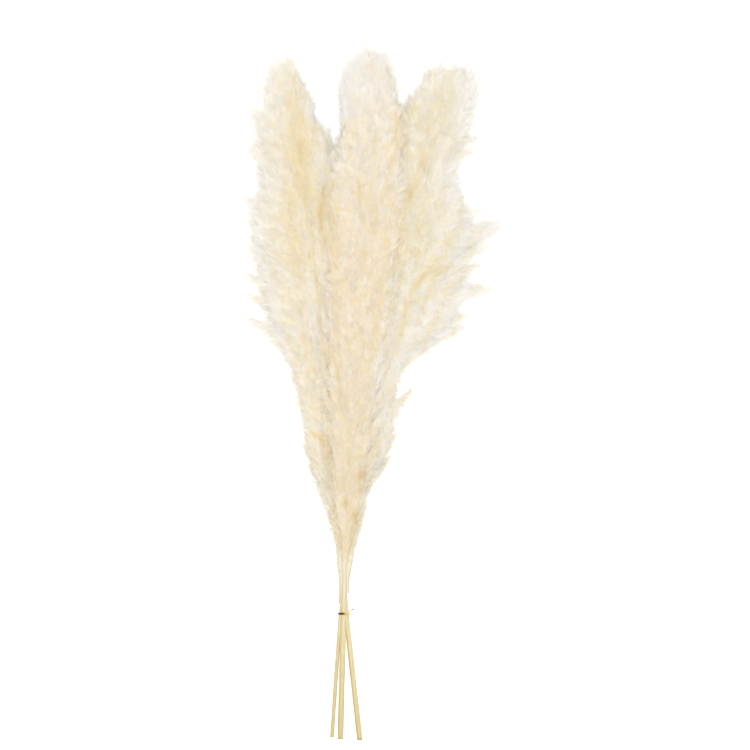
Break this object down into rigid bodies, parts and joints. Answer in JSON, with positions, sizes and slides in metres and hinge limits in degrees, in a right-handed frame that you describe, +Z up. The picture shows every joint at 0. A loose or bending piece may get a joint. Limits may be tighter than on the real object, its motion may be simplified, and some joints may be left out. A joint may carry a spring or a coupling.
{
  "type": "bunch of reeds",
  "caption": "Bunch of dried cream-white reed plumes with feathery heads that fan out from bare straw stems tied with a thin wire, lying down.",
  "frame": {"origin": "on the surface that the bunch lies on, under the middle of its outline", "axes": "+Y along the bunch from the cut stem ends to the plume tips, +Z up from the surface, +X to the right as seen from above with the plumes at the top"},
  "size_m": [0.2687, 0.753, 0.0798],
  "materials": {
    "straw_stem": "smooth pale straw with fine ribs along the stem",
    "left_plume": "soft matt bleached fluff, the warmest of the three",
    "middle_plume": "soft matt bleached fluff, near white",
    "right_plume": "soft matt bleached fluff, cool white at its side tips",
    "tie_wire": "dull gold wire, dark brown in places"
  },
  "bodies": {
    "root": {"left_stem": "straw_stem", "left_branch_1_a": "left_plume", "left_branch_1_b": "left_plume", "left_branch_1_c": "left_plume", "left_branch_1_d": "left_plume", "left_branch_2_a": "left_plume", "left_branch_2_b": "left_plume", "left_branch_2_c": "left_plume", "left_branch_2_d": "left_plume", "left_branch_3_a": "left_plume", "left_branch_3_b": "left_plume", "left_branch_3_c": "left_plume", "left_branch_3_d": "left_plume", "left_branch_4_a": "left_plume", "left_branch_4_b": "left_plume", "left_branch_4_c": "left_plume", "left_branch_4_d": "left_plume", "left_tip": "left_plume", "middle_stem": "straw_stem", "middle_branch_1_a": "middle_plume", "middle_branch_1_b": "middle_plume", "middle_branch_1_c": "middle_plume", "middle_branch_1_d": "middle_plume", "middle_branch_2_a": "middle_plume", "middle_branch_2_b": "middle_plume", "middle_branch_2_c": "middle_plume", "middle_branch_2_d": "middle_plume", "middle_branch_3_a": "middle_plume", "middle_branch_3_b": "middle_plume", "middle_branch_3_c": "middle_plume", "middle_branch_3_d": "middle_plume", "middle_branch_4_a": "middle_plume", "middle_branch_4_b": "middle_plume", "middle_branch_4_c": "middle_plume", "middle_branch_4_d": "middle_plume", "middle_tip": "middle_plume", "right_stem": "straw_stem", "right_branch_1_a": "right_plume", "right_branch_1_b": "right_plume", "right_branch_1_c": "right_plume", "right_branch_1_d": "right_plume", "right_branch_2_a": "right_plume", "right_branch_2_b": "right_plume", "right_branch_2_c": "right_plume", "right_branch_2_d": "right_plume", "right_branch_3_a": "right_plume", "right_branch_3_b": "right_plume", "right_branch_3_c": "right_plume", "right_branch_3_d": "right_plume", "right_branch_4_a": "right_plume", "right_branch_4_b": "right_plume", "right_branch_4_c": "right_plume", "right_branch_4_d": "right_plume", "right_tip": "right_plume", "tie_wire": "tie_wire"}
  },
  "joints": []
}
